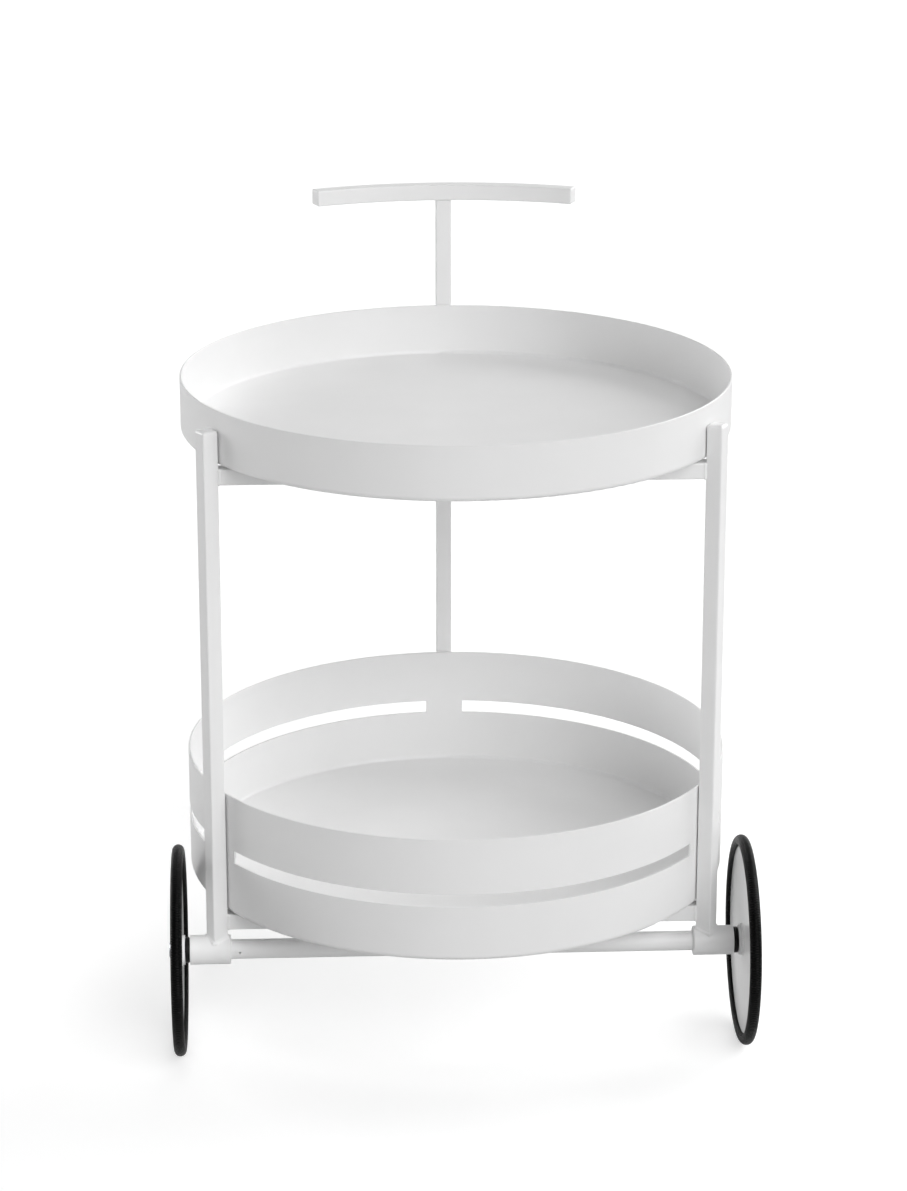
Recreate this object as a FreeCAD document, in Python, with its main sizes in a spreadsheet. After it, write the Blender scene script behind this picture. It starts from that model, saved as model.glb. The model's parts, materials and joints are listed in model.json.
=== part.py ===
import FreeCAD, Part
import math
import os

import Sketcher
from FreeCAD import Placement, Rotation, Vector

# A round trolley with two trays: a frame of square tube on three legs, two of which stand on
# a wheel axle and the third on a foot, where it carries on upwards as the pull handle.
# Millimetres, +Z up, the handle on the +Y side. The origin is on the floor, in the middle of
# the trolley's footprint, which puts the axis of the trays a little in front of it.

doc = FreeCAD.newDocument("RoundTrolley")
sheet = doc.addObject("Spreadsheet::Sheet", "Sizes")

DRIVING = [
    ("tube_width", 15, "square tube of the whole frame, across flats"),
    ("tube_wall", 1.5, "wall of the square tube"),
    ("tube_round", 1.6, "outer corner radius of the square tube"),
    ("plug_clearance", 0.1, "gap between an insert and the inside of its tube"),
    ("tray_radius", 250, "outer radius of both trays"),
    ("tray_sheet", 2, "thickness of the tray sheet"),
    ("tray_bend", 5, "outer radius of the bend between floor and wall"),
    ("edge_bevel", 0.5, "bevel on the tray rims and on turned edges"),
    ("post_gap", 1, "gap between a tray wall and the posts"),
    ("upper_tray_base", 556, "underside of the upper tray above the floor"),
    ("upper_tray_depth", 50, "height of the upper tray wall"),
    ("lower_tray_base", 134, "underside of the lower tray above the floor"),
    ("lower_tray_depth", 115, "height of the lower tray wall"),
    ("slot_base", 51.5, "bottom of the slots above the underside of the lower tray"),
    ("slot_depth", 12, "height of the slots in the lower tray wall"),
    ("bridge_angle", 8.4, "angle of wall left between two slots, behind each post"),
    ("tray_standoff", 2, "gap between a tray and the bars that carry it"),
    ("bar_setback", 3.75, "middle of a crossbar behind the middle of the posts that it joins"),
    ("fixing_spread", 120, "distance of the front fixings from the middle of a crossbar"),
    ("fixing_reach", 165, "distance of the rear fixing behind the tray axis"),
    ("front_post_top", 589, "top of the front posts"),
    ("cap_thick", 4, "visible thickness of the caps on the front posts"),
    ("cap_round", 3.2, "rounding of the caps' outer edges"),
    ("spigot_length", 3, "part of a cap that sits in its tube"),
    ("foot_thick", 4, "visible thickness of the rear foot"),
    ("foot_stem", 16, "part of the foot that is driven into the rear post"),
    ("handle_top", 724, "top of the handle"),
    ("handle_radius", 320, "radius of the handle's centre line, seen from above"),
    ("handle_sweep", 45.6, "angle of the whole handle, caps included"),
    ("handle_cap_sweep", 0.6, "angle of each cap's visible end plate"),
    ("handle_spigot_sweep", 0.5, "angle of the part of a cap inside the handle"),
    ("handle_cap_round", 1.6, "rounding of the handle's end edges"),
    ("wheel_radius", 96.5, "outer radius of the tyre, and height of the axle"),
    ("wheel_plane", 258.7, "middle of the wheel from the middle of the trolley"),
    ("tyre_section", 10.8, "diameter of the round rubber cord"),
    ("groove_depth", 4, "depth of the tyre's groove on the rim of the disc"),
    ("disc_thick", 3, "thickness of the wheel disc"),
    ("hub_diameter", 27, "outer diameter of the hub, and of the axle sleeve"),
    ("hub_inner", 5.2, "hub's reach from the wheel plane towards the trolley"),
    ("hub_outer", 3.6, "hub's reach from the wheel plane away from the trolley"),
    ("bush_flange", 24, "diameter of the bush's flange"),
    ("bush_flange_thick", 4.2, "thickness of the bush's flange"),
    ("bush_flange_round", 1.6, "rounding of the flange's rim"),
    ("bush_barrel", 14, "outer diameter of the bush's barrel"),
    ("shoulder_diameter", 10, "shoulder of the axle bolt, on which the bush turns"),
    ("running_gap", 0.05, "radial gap of a turned fit"),
    ("end_gap", 0.3, "gap on either side of the bush, along the axle"),
    ("sleeve_length", 37, "length of the axle sleeve"),
    ("socket_depth", 8, "depth of the sleeve's socket for the axle tube"),
    ("axle_tube_diameter", 18, "outer diameter of the axle tube"),
    ("axle_tube_wall", 1.5, "wall of the axle tube"),
    ("vent_diameter", 2, "vent hole near the left end of the axle tube"),
    ("vent_inset", 8.5, "vent hole from the inner end of the left sleeve"),
    ("bolt_thread", 8, "thread of the axle bolt"),
    ("bolt_thread_length", 20, "length of that thread"),
    ("bolt_head_diameter", 17.5, "head of the axle bolt"),
    ("bolt_head_height", 4.4, "height of that head"),
    ("bolt_socket", 5, "hexagon socket in the head, across flats"),
    ("bolt_socket_depth", 2.6, "depth of the hexagon socket"),
    ("washer_diameter", 20, "washer between the head and the bush"),
    ("washer_thick", 1, "thickness of that washer"),
    ("pad_diameter", 13, "glide pads below the upper tray"),
    ("stem_diameter", 5, "stem of a glide pad, and thread of a stud"),
    ("stem_hole", 5.5, "hole in a bar for a stem or a stud"),
    ("pad_stem", 8, "length of a glide pad's stem"),
    ("stud_tail", 7, "stud's reach below the bar"),
    ("nut_flats", 8, "nut on a stud, across flats"),
    ("nut_height", 4, "height of that nut"),
    ("nut_washer_diameter", 11, "washer above the nut"),
    ("nut_washer_thick", 1, "thickness of that washer"),
]
for row, (alias, value, meaning) in enumerate(DRIVING, start=1):
    sheet.set(f"A{row}", meaning)
    sheet.set(f"B{row}", str(value))
    sheet.setAlias(f"B{row}", alias)
doc.recompute()


def size(text):
    """Write an expression on the sheet's aliases, given as bare words, in full."""
    for alias, _, _ in DRIVING:
        text = text.replace(f"<{alias}>", f"Sizes.{alias}")
    return text


def value(text):
    """Number that an expression on the sheet's aliases stands for."""
    return float(sheet.evalExpression(size(text).replace("Sizes.", "")))


# Places that several pieces share.
POST_CIRCLE = "(<tray_radius> + <post_gap> + <tube_width> / 2)"
TRAY_Y = "(-(<post_gap> + <tube_width>) / 2)"
FRONT_Y = f"({TRAY_Y} - {POST_CIRCLE} / 2)"
REAR_Y = f"({TRAY_Y} + {POST_CIRCLE})"
FRONT_X = f"({POST_CIRCLE} * cos(30 deg))"
CROSSBAR_Y = f"({FRONT_Y} + <bar_setback>)"
UPPER_BAR_Z = "(<upper_tray_base> - <tray_standoff> - <tube_width> / 2)"
LOWER_BAR_Z = "(<lower_tray_base> - <tray_standoff> - <tube_width> / 2)"
TUBE_INSIDE = "(<tube_width> / 2 - <tube_wall>)"
SLEEVE_OUTER = "(<wheel_plane> - <hub_inner> - <bush_flange_thick> - <end_gap>)"
SLEEVE_INNER = f"({SLEEVE_OUTER} - <sleeve_length>)"
WASHER_INNER = "(<wheel_plane> + <hub_outer> + <end_gap>)"

nodes = []


def place(obj, x="0", y="0", z="0", turn=Rotation()):
    """Put an object at a place given by expressions, turned as stated."""
    obj.Placement = Placement(Vector(value(x), value(y), value(z)), turn)
    for axis, text in (("x", x), ("y", y), ("z", z)):
        obj.setExpression(f".Placement.Base.{axis}", size(f"({text}) * 1 mm"))
    return obj


def node(obj, name):
    """Name a finished piece and put it on the list of pieces."""
    obj.Label = name
    nodes.append(obj)
    return obj


def new_body(name):
    body = doc.addObject("PartDesign::Body", f"{name}_body")
    return body


def new_sketch(body, name, role):
    """Empty sketch on one of the body's own origin planes."""
    sketch = body.newObject("Sketcher::SketchObject", name)
    plane = next(feature for feature in body.Origin.OriginFeatures if feature.Role == role)
    sketch.AttachmentSupport = [(plane, "")]
    sketch.MapMode = "FlatFace"
    return sketch


def bind(sketch, constraint, name, text):
    """Add a constraint whose value comes from the sheet."""
    index = sketch.addConstraint(constraint)
    sketch.renameConstraint(index, name)
    sketch.setExpression(f"Constraints.{name}", size(text))


def outline(sketch, corners):
    """Closed outline of straight lines through corners, each a pair of expressions."""
    first = sketch.GeometryCount
    points = [Vector(value(across), value(up), 0) for across, up in corners]
    count = len(corners)
    for k in range(count):
        sketch.addGeometry(Part.LineSegment(points[k], points[(k + 1) % count]), False)
    for k in range(count):
        line, following = first + k, first + (k + 1) % count
        sketch.addConstraint(Sketcher.Constraint("Coincident", line, 2, following, 1))
    for k, (across, up) in enumerate(corners):
        line = first + k
        bind(sketch, Sketcher.Constraint("DistanceX", -1, 1, line, 1, points[k].x), f"x{line}", across)
        bind(sketch, Sketcher.Constraint("DistanceY", -1, 1, line, 1, points[k].y), f"y{line}", up)


def square(sketch, half_width, across="0", up="0"):
    """Square of the given half width about a point."""
    signs = [(-1, -1), (1, -1), (1, 1), (-1, 1)]
    outline(sketch, [(f"{across} + {a} * {half_width}", f"{up} + {b} * {half_width}") for a, b in signs])


def circle(sketch, radius, across="0", up="0"):
    """Circle about a point, all given by expressions."""
    centre = Vector(value(across), value(up), 0)
    index = sketch.addGeometry(Part.Circle(centre, Vector(0, 0, 1), value(radius)), False)
    bind(sketch, Sketcher.Constraint("DistanceX", -1, 1, index, 3, centre.x), f"x{index}", across)
    bind(sketch, Sketcher.Constraint("DistanceY", -1, 1, index, 3, centre.y), f"y{index}", up)
    bind(sketch, Sketcher.Constraint("Radius", index, value(radius)), f"r{index}", radius)


def pad(body, sketch, length, midplane=False, backwards=False):
    feature = body.newObject("PartDesign::Pad", f"{sketch.Name}_pad")
    feature.Profile = sketch
    feature.setExpression("Length", size(length))
    feature.Midplane = midplane
    feature.Reversed = backwards
    doc.recompute()
    return feature


def pocket(body, sketch, length, midplane=False, backwards=False):
    """Cut a sketch's outline out of the body, and make sure that it cut something."""
    before = body.Shape.Volume
    feature = body.newObject("PartDesign::Pocket", f"{sketch.Name}_pocket")
    feature.Profile = sketch
    feature.setExpression("Length", size(length))
    feature.Midplane = midplane
    feature.Reversed = backwards
    doc.recompute()
    if body.Shape.Volume > before - 0.5:
        raise RuntimeError(f"{feature.Name} cut nothing")
    return feature


def turned(body, sketch, role, angle="360", midplane=False, backwards=False, cut=False):
    """Revolve a sketch about one of the body's own axes, as metal added or taken away."""
    before = body.Shape.Volume if cut else 0
    kind = "Groove" if cut else "Revolution"
    feature = body.newObject(f"PartDesign::{kind}", f"{sketch.Name}_{kind.lower()}")
    feature.Profile = sketch
    axis = next(item for item in body.Origin.OriginFeatures if item.Role == role)
    feature.ReferenceAxis = (axis, [""])
    feature.setExpression("Angle", size(angle))
    feature.Midplane = midplane
    feature.Reversed = backwards
    doc.recompute()
    if cut and body.Shape.Volume > before - 0.5:
        raise RuntimeError(f"{feature.Name} cut nothing")
    return feature


def dressed(body, name, kind, amount, wanted):
    """Fillet or chamfer the edges of the body that the test accepts."""
    base = body.Tip
    edges = [f"Edge{k}" for k, edge in enumerate(base.Shape.Edges, start=1) if wanted(edge)]
    if not edges:
        raise RuntimeError(f"{name} found no edge")
    feature = body.newObject(f"PartDesign::{kind}", name)
    feature.Base = (base, edges)
    feature.setExpression("Radius" if kind == "Fillet" else "Size", size(amount))
    doc.recompute()
    return feature


def rounded(body, name, radius, wanted):
    return dressed(body, name, "Fillet", radius, wanted)


def bevelled(body, name, width, wanted):
    return dressed(body, name, "Chamfer", width, wanted)


def is_upright(edge):
    return abs(edge.tangentAt(edge.FirstParameter).z) > 0.9


def is_level(edge, height):
    """Whether an edge lies flat at a height."""
    box = edge.BoundBox
    return abs(box.ZMin - height) < 0.01 and abs(box.ZMax - height) < 0.01


def boolean(kind, name, base, tools):
    """Join or cut whole objects: kind is Cut or MultiFuse."""
    result = doc.addObject(f"Part::{kind}", name)
    if kind == "Cut":
        result.Base = base
        result.Tool = tools
    else:
        result.Shapes = tools
    doc.recompute()
    return result


def cylinder(name, radius, height, x="0", y="0", z="0", turn=Rotation()):
    """Plain round bar that stands on its place before it is turned."""
    bar = doc.addObject("Part::Cylinder", name)
    bar.setExpression("Radius", size(radius))
    bar.setExpression("Height", size(height))
    return place(bar, x, y, z, turn)


ALONG_X = Rotation(Vector(0, 1, 0), 90)
SIDES = (("left", -1), ("right", 1))


# ---- Square tube ---------------------------------------------------------------------------
def square_tube(name, role, length, midplane=False, backwards=False):
    """Length of the frame's square tube, along the normal of the named plane."""
    body = new_body(name)
    section = new_sketch(body, f"{name}_section", role)
    square(section, "<tube_width> / 2")
    square(section, TUBE_INSIDE)
    pad(body, section, length, midplane, backwards)
    corner = math.hypot(value("<tube_width>"), value("<tube_width>")) / 2
    normal = {"XY_Plane": Vector(0, 0, 1), "XZ_Plane": Vector(0, 1, 0), "YZ_Plane": Vector(1, 0, 0)}[role]

    def is_outer_corner(edge):
        middle = edge.CenterOfMass
        return abs((middle - normal * middle.dot(normal)).Length - corner) < 0.01

    rounded(body, f"{name}_corners", "<tube_round>", is_outer_corner)
    return body


def end_cap(name, thickness, stem_length, end_round, outward):
    """Closure for a square tube: a plate against its end at z 0 and a stem inside it."""
    body = new_body(name)
    plate = new_sketch(body, f"{name}_plate", "XY_Plane")
    square(plate, "<tube_width> / 2")
    pad(body, plate, thickness, backwards=outward < 0)
    rounded(body, f"{name}_sides", "<tube_round>", is_upright)
    end = value(thickness) * outward
    rounded(body, f"{name}_end", end_round, lambda edge: is_level(edge, end))
    stem = new_sketch(body, f"{name}_stem", "XY_Plane")
    square(stem, f"({TUBE_INSIDE} - <plug_clearance>)")
    pad(body, stem, stem_length, backwards=outward > 0)
    return body


# ---- Front posts -----------------------------------------------------------------------------
# Each front post is turned so that one face looks at the tray axis. Its foot is coped to sit
# on the round axle sleeve, and a domed cap closes its top.
for side, sign in SIDES:
    turn = Rotation(Vector(0, 0, 1), -30 * sign)
    blank = square_tube(f"{side}_post_blank", "XY_Plane",
                        "<front_post_top> - <cap_thick> - <wheel_radius>")
    place(blank, f"{sign} * {FRONT_X}", FRONT_Y, "<wheel_radius>", turn)
    cope = cylinder(f"{side}_cope", "<hub_diameter> / 2", "<sleeve_length>",
                    f"{sign} * {SLEEVE_INNER} - {int(sign < 0)} * <sleeve_length>", FRONT_Y,
                    "<wheel_radius>", ALONG_X)
    node(boolean("Cut", f"{side}_post_coped", blank, cope), f"front_{side}_post")

    cap = end_cap(f"{side}_post_cap", "<cap_thick>", "<spigot_length>", "<cap_round>", 1)
    place(cap, f"{sign} * {FRONT_X}", FRONT_Y, "<front_post_top> - <cap_thick>", turn)
    node(cap, f"{side}_post_cap")


# ---- Rear post and foot ----------------------------------------------------------------------
rear_post = square_tube("rear_post", "XY_Plane", "<handle_top> - <tube_width> - <foot_thick>")
place(rear_post, "0", REAR_Y, "<foot_thick>")
node(rear_post, "rear_post")

foot = end_cap("rear_foot", "<foot_thick>", "<foot_stem>", "<tube_round>", -1)
place(foot, "0", REAR_Y, "<foot_thick>")
node(foot, "rear_foot")


# ---- Handle ----------------------------------------------------------------------------------
# A bent length of the same tube whose ends come forward round the tray. Its pieces are all
# turned about the upright axis that the bend is struck from.
HANDLE_AXIS_Y = f"({REAR_Y} - <handle_radius>)"
HANDLE_Z = "<handle_top> - <tube_width> / 2"
HALF_BAR = "(<handle_sweep> / 2 - <handle_cap_sweep>)"

handle = new_body("handle_bar")
section = new_sketch(handle, "handle_section", "YZ_Plane")
square(section, "<tube_width> / 2", "<handle_radius>")
square(section, TUBE_INSIDE, "<handle_radius>")
turned(handle, section, "Z_Axis", f"2 * {HALF_BAR}", midplane=True)


def is_handle_corner(edge):
    """Long outer edges of the bent tube: arcs at the outer faces' radii."""
    if not isinstance(edge.Curve, Part.Circle):
        return False
    across = abs(edge.Curve.Radius - value("<handle_radius>"))
    return abs(across - value("<tube_width> / 2")) < 0.01


def lies_in_plane(edge, normal):
    """Whether an edge lies in the upright plane through the bend's axis that has this normal."""
    return all(abs(vertex.Point.dot(normal)) < 0.01 for vertex in edge.Vertexes)


rounded(handle, "handle_corners", "<tube_round>", is_handle_corner)
place(handle, "0", HANDLE_AXIS_Y, HANDLE_Z)
node(handle, "handle_bar")

for side, sign in SIDES:
    cap = new_body(f"handle_{side}_cap")
    plate = new_sketch(cap, f"{side}_end_plate", "YZ_Plane")
    square(plate, "<tube_width> / 2", "<handle_radius>")
    turned(cap, plate, "Z_Axis", "<handle_cap_sweep>", backwards=sign > 0)
    rounded(cap, f"{side}_end_sides", "<tube_round>", is_handle_corner)
    end_normal = Rotation(Vector(0, 0, 1), -sign * value("<handle_cap_sweep>")).multVec(Vector(1, 0, 0))
    rounded(cap, f"{side}_end_edges", "<handle_cap_round>", lambda edge: lies_in_plane(edge, end_normal))
    stem = new_sketch(cap, f"{side}_end_stem", "YZ_Plane")
    square(stem, f"({TUBE_INSIDE} - <plug_clearance>)", "<handle_radius>")
    turned(cap, stem, "Z_Axis", "<handle_spigot_sweep>", backwards=sign < 0)
    place(cap, "0", HANDLE_AXIS_Y, HANDLE_Z, Rotation(Vector(0, 0, 1), -sign * value(HALF_BAR)))
    node(cap, f"handle_{side}_cap")


# ---- Crossbars and spines --------------------------------------------------------------------
# At each tray a crossbar joins the front posts, mitred at both ends to lie flat on the posts'
# inner faces, and a spine runs back from it to the rear post.
for level, bar_z in (("upper", UPPER_BAR_Z), ("lower", LOWER_BAR_Z)):
    is_lower = level == "lower"
    bar = square_tube(f"{level}_bar_blank", "YZ_Plane", f"2 * {FRONT_X}", midplane=True)
    holes = new_sketch(bar, f"{level}_bar_holes", "XY_Plane")
    circle(holes, "<stem_hole> / 2", "-<fixing_spread>")
    circle(holes, "<stem_hole> / 2", "<fixing_spread>")
    pocket(bar, holes, "2 * <tube_width>", midplane=is_lower, backwards=not is_lower)
    place(bar, "0", CROSSBAR_Y, bar_z)
    mitres = []
    for side, sign in SIDES:
        mitre = doc.addObject("Part::Box", f"{level}_{side}_mitre")
        for edge_length, tube_widths in (("Length", 2), ("Width", 4), ("Height", 2)):
            mitre.setExpression(edge_length, size(f"{tube_widths} * <tube_width>"))
        turn = Rotation(Vector(0, 0, 1), -30 * sign)
        along = "-<tube_width> / 2" if sign > 0 else "-1.5 * <tube_width>"
        shift = turn.multVec(Vector(value(along), value("-2 * <tube_width>"), 0))
        place(mitre, f"{sign} * {FRONT_X} + {shift.x}", f"{FRONT_Y} + {shift.y}",
              f"{bar_z} - <tube_width>", turn)
        mitres.append(mitre)
    cutter = boolean("MultiFuse", f"{level}_mitres", None, mitres)
    node(boolean("Cut", f"{level}_bar_mitred", bar, cutter), f"{level}_crossbar")

    spine = square_tube(f"{level}_spine", "XZ_Plane", f"{REAR_Y} - {CROSSBAR_Y} - <tube_width>",
                        backwards=True)
    hole = new_sketch(spine, f"{level}_spine_hole", "XY_Plane")
    circle(hole, "<stem_hole> / 2", "0", f"{TRAY_Y} + <fixing_reach> - {CROSSBAR_Y} - <tube_width> / 2")
    pocket(spine, hole, "2 * <tube_width>", midplane=is_lower, backwards=not is_lower)
    place(spine, "0", f"{CROSSBAR_Y} + <tube_width> / 2", bar_z)
    node(spine, f"{level}_spine")


# ---- Trays -----------------------------------------------------------------------------------
# Both are spun from one sheet: a flat floor, a tight bend and an upright wall.
def tray(name, depth):
    """Spun tray, open at the top, standing on z 0 about the z axis."""
    body = new_body(name)
    disc = new_sketch(body, f"{name}_disc", "XY_Plane")
    circle(disc, "<tray_radius>")
    pad(body, disc, depth)
    top = value(depth)
    bend = rounded(body, f"{name}_bend", "<tray_bend>", lambda edge: is_level(edge, 0))
    mouth = next(f"Face{k}" for k, face in enumerate(bend.Shape.Faces, start=1)
                 if face.BoundBox.ZMin > top - 0.01)
    shell = body.newObject("PartDesign::Thickness", f"{name}_shell")
    shell.Base = (bend, [mouth])
    shell.setExpression("Value", size("<tray_sheet>"))
    shell.Reversed = True
    doc.recompute()
    bevelled(body, f"{name}_rim", "<edge_bevel>", lambda edge: is_level(edge, top))
    return body


upper_tray = tray("upper_tray", "<upper_tray_depth>")
place(upper_tray, "0", TRAY_Y, "<upper_tray_base>")
node(upper_tray, "upper_tray")

# The deeper wall of the lower tray has three long slots. What is left between them are three
# short bridges, one in front of each post.
lower_tray = tray("lower_tray", "<lower_tray_depth>")
slot = new_sketch(lower_tray, "slot_section", "YZ_Plane")
inside = "-(<tray_radius> - 3 * <tray_sheet>)"
outside = "-(<tray_radius> + 3 * <tray_sheet>)"
slot_top = "<slot_base> + <slot_depth>"
outline(slot, [(outside, "<slot_base>"), (inside, "<slot_base>"),
               (inside, slot_top), (outside, slot_top)])
groove = turned(lower_tray, slot, "Z_Axis", "120 - <bridge_angle>", midplane=True, cut=True)
pattern = lower_tray.newObject("PartDesign::PolarPattern", "slots")
pattern.Originals = [groove]
pattern.Axis = (next(item for item in lower_tray.Origin.OriginFeatures if item.Role == "Z_Axis"), [""])
pattern.Angle = 360
pattern.Occurrences = 3
lower_tray.Tip = pattern
doc.recompute()
place(lower_tray, "0", TRAY_Y, "<lower_tray_base>")
node(lower_tray, "lower_tray")


# ---- Tray fixings ----------------------------------------------------------------------------
# The upper tray lies loose on three glide pads pushed into the bars. The lower one has three
# studs welded under it, which pass through the bars and are held by nuts.
FIXINGS = [("-<fixing_spread>", CROSSBAR_Y), ("<fixing_spread>", CROSSBAR_Y),
           ("0", f"{TRAY_Y} + <fixing_reach>")]


def fixing_stack(name, discs):
    """Same stack of round discs at each fixing: discs are (radius, height, z of its base)."""
    bars = []
    for k, (x, y) in enumerate(FIXINGS):
        for level, (radius, height, base) in enumerate(discs):
            bars.append(cylinder(f"{name}_{k}_{level}", radius, height, x, y, base))
    return boolean("MultiFuse", name, None, bars)


UPPER_BAR_TOP = "<upper_tray_base> - <tray_standoff>"
LOWER_BAR_TOP = "<lower_tray_base> - <tray_standoff>"
LOWER_BAR_BOTTOM = f"{LOWER_BAR_TOP} - <tube_width>"
NUT_TOP = f"{LOWER_BAR_BOTTOM} - <nut_washer_thick>"

node(fixing_stack("pad_stack", [
    ("<pad_diameter> / 2", "<tray_standoff>", UPPER_BAR_TOP),
    ("<stem_diameter> / 2", "<pad_stem>", f"{UPPER_BAR_TOP} - <pad_stem>"),
]), "upper_tray_pads")
node(fixing_stack("stud_stack", [
    ("<pad_diameter> / 2", "<tray_standoff>", LOWER_BAR_TOP),
    ("<stem_diameter> / 2", "<tube_width> + <stud_tail>", f"{LOWER_BAR_BOTTOM} - <stud_tail>"),
]), "lower_tray_studs")

stud_bore = "<stem_diameter> / 2 + <running_gap>"
nut_bores = fixing_stack("nut_bores", [(stud_bore, "<tube_width>", f"{NUT_TOP} - <tube_width> / 2")])
washer_discs = fixing_stack("washer_discs",
                            [("<nut_washer_diameter> / 2", "<nut_washer_thick>", NUT_TOP)])
node(boolean("Cut", "washer_rings", washer_discs, nut_bores), "lower_tray_washers")

nut_blanks = []
for k, (x, y) in enumerate(FIXINGS):
    blank = doc.addObject("Part::Prism", f"nut_blank_{k}")
    blank.Polygon = 6
    blank.setExpression("Circumradius", size("<nut_flats> / 2 / cos(30 deg)"))
    blank.setExpression("Height", size("<nut_height>"))
    nut_blanks.append(place(blank, x, y, f"{NUT_TOP} - <nut_height>"))
nut_group = boolean("MultiFuse", "nut_group", None, nut_blanks)
nut_holes = fixing_stack("nut_holes", [(stud_bore, "<tube_width>", f"{NUT_TOP} - <tube_width> / 2")])
node(boolean("Cut", "bored_nuts", nut_group, nut_holes), "lower_tray_nuts")


# ---- Axle tube -------------------------------------------------------------------------------
axle_tube = new_body("axle_tube")
section = new_sketch(axle_tube, "axle_section", "YZ_Plane")
circle(section, "<axle_tube_diameter> / 2")
circle(section, "<axle_tube_diameter> / 2 - <axle_tube_wall>")
pad(axle_tube, section, f"2 * ({SLEEVE_INNER} + <socket_depth>)", midplane=True)
vent = new_sketch(axle_tube, "vent_hole", "XZ_Plane")
circle(vent, "<vent_diameter> / 2", f"-({SLEEVE_INNER} - <vent_inset>)")
pocket(axle_tube, vent, "<axle_tube_diameter>", backwards=True)
place(axle_tube, "0", FRONT_Y, "<wheel_radius>")
node(axle_tube, "axle_tube")


# ---- Wheels ----------------------------------------------------------------------------------
# Turned pieces are drawn in their own frame, with the axle along x and the wheel plane at
# x 0, outwards positive. The left ones are the same pieces, turned half a turn about z.
def turned_piece(name, corners):
    """Solid of revolution about x from a closed outline of (along, radius) corners."""
    body = new_body(name)
    profile = new_sketch(body, f"{name}_profile", "XZ_Plane")
    outline(profile, corners)
    turned(body, profile, "X_Axis")
    return body


def ring(inner, outer, start, end):
    """Outline of a plain ring between two radii and two places along the axle."""
    return [(start, inner), (end, inner), (end, outer), (start, outer)]


def at_edge(along, radius):
    """Test for the round edge at a place along the axle and at a radius."""
    def matches(edge):
        if not isinstance(edge.Curve, Part.Circle):
            return False
        near = abs(edge.Curve.Center.x - value(along)) < 0.01
        return near and abs(edge.Curve.Radius - value(radius)) < 0.01
    return matches


FLANGE_START = "-(<hub_inner> + <bush_flange_thick>)"
SLEEVE_END = f"({FLANGE_START} - <end_gap>)"
SLEEVE_START = f"({SLEEVE_END} - <sleeve_length>)"
BARREL_RADIUS = "<bush_barrel> / 2"
SHOULDER_RADIUS = "<shoulder_diameter> / 2"
HEAD_START = "<hub_outer> + <end_gap> + <washer_thick>"
DISC_RADIUS = "(<wheel_radius> - <tyre_section> + <groove_depth>)"


def tyre(name):
    """Round cord bent into a ring, with a groove inside that grips the rim of the disc."""
    body = new_body(name)
    profile = new_sketch(body, f"{name}_profile", "XZ_Plane")
    circle(profile, "<tyre_section> / 2", "0", "<wheel_radius> - <tyre_section> / 2")
    turned(body, profile, "X_Axis")
    groove_profile = new_sketch(body, f"{name}_groove", "XZ_Plane")
    half_disc = "<disc_thick> / 2"
    outline(groove_profile, ring("<wheel_radius> - 1.5 * <tyre_section>", DISC_RADIUS,
                                 f"-{half_disc}", half_disc))
    turned(body, groove_profile, "X_Axis", cut=True)
    return body


def wheel_disc(name):
    """Flat disc with softened rim, bored for the hub."""
    half_disc = "<disc_thick> / 2"
    return turned_piece(name, ring("<hub_diameter> / 2", DISC_RADIUS, f"-{half_disc}", half_disc))


def hub(name):
    """Turned boss that the disc is welded to, bored for the bush."""
    body = turned_piece(name, ring(f"{BARREL_RADIUS} + <running_gap>", "<hub_diameter> / 2",
                                   "-<hub_inner>", "<hub_outer>"))
    bevelled(body, f"{name}_outer_edge", "<edge_bevel>", at_edge("<hub_outer>", "<hub_diameter> / 2"))
    return body


def hub_bush(name):
    """Flanged bush: the flange bears on the sleeve, the barrel lines the hub."""
    bore = f"{SHOULDER_RADIUS} + <running_gap>"
    body = turned_piece(name, [
        (FLANGE_START, bore), ("<hub_outer>", bore), ("<hub_outer>", BARREL_RADIUS),
        ("-<hub_inner>", BARREL_RADIUS), ("-<hub_inner>", "<bush_flange> / 2"),
        (FLANGE_START, "<bush_flange> / 2"),
    ])
    rim = "<bush_flange> / 2"
    rounded(body, f"{name}_rim", "<bush_flange_round>",
            lambda edge: at_edge(FLANGE_START, rim)(edge) or at_edge("-<hub_inner>", rim)(edge))
    return body


def axle_sleeve(name):
    """Turned sleeve: a socket for the axle tube on one end, the bolt's thread on the other."""
    socket = "<axle_tube_diameter> / 2 + <running_gap>"
    socket_end = f"{SLEEVE_START} + <socket_depth>"
    thread = "<bolt_thread> / 2 + <running_gap>"
    body = turned_piece(name, [
        (SLEEVE_START, socket), (socket_end, socket), (socket_end, thread), (SLEEVE_END, thread),
        (SLEEVE_END, "<hub_diameter> / 2"), (SLEEVE_START, "<hub_diameter> / 2"),
    ])
    edge_radius = "<hub_diameter> / 2"
    ends = [at_edge(SLEEVE_START, edge_radius), at_edge(SLEEVE_END, edge_radius)]
    bevelled(body, f"{name}_ends", "<edge_bevel>", lambda edge: any(end(edge) for end in ends))
    return body


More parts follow.
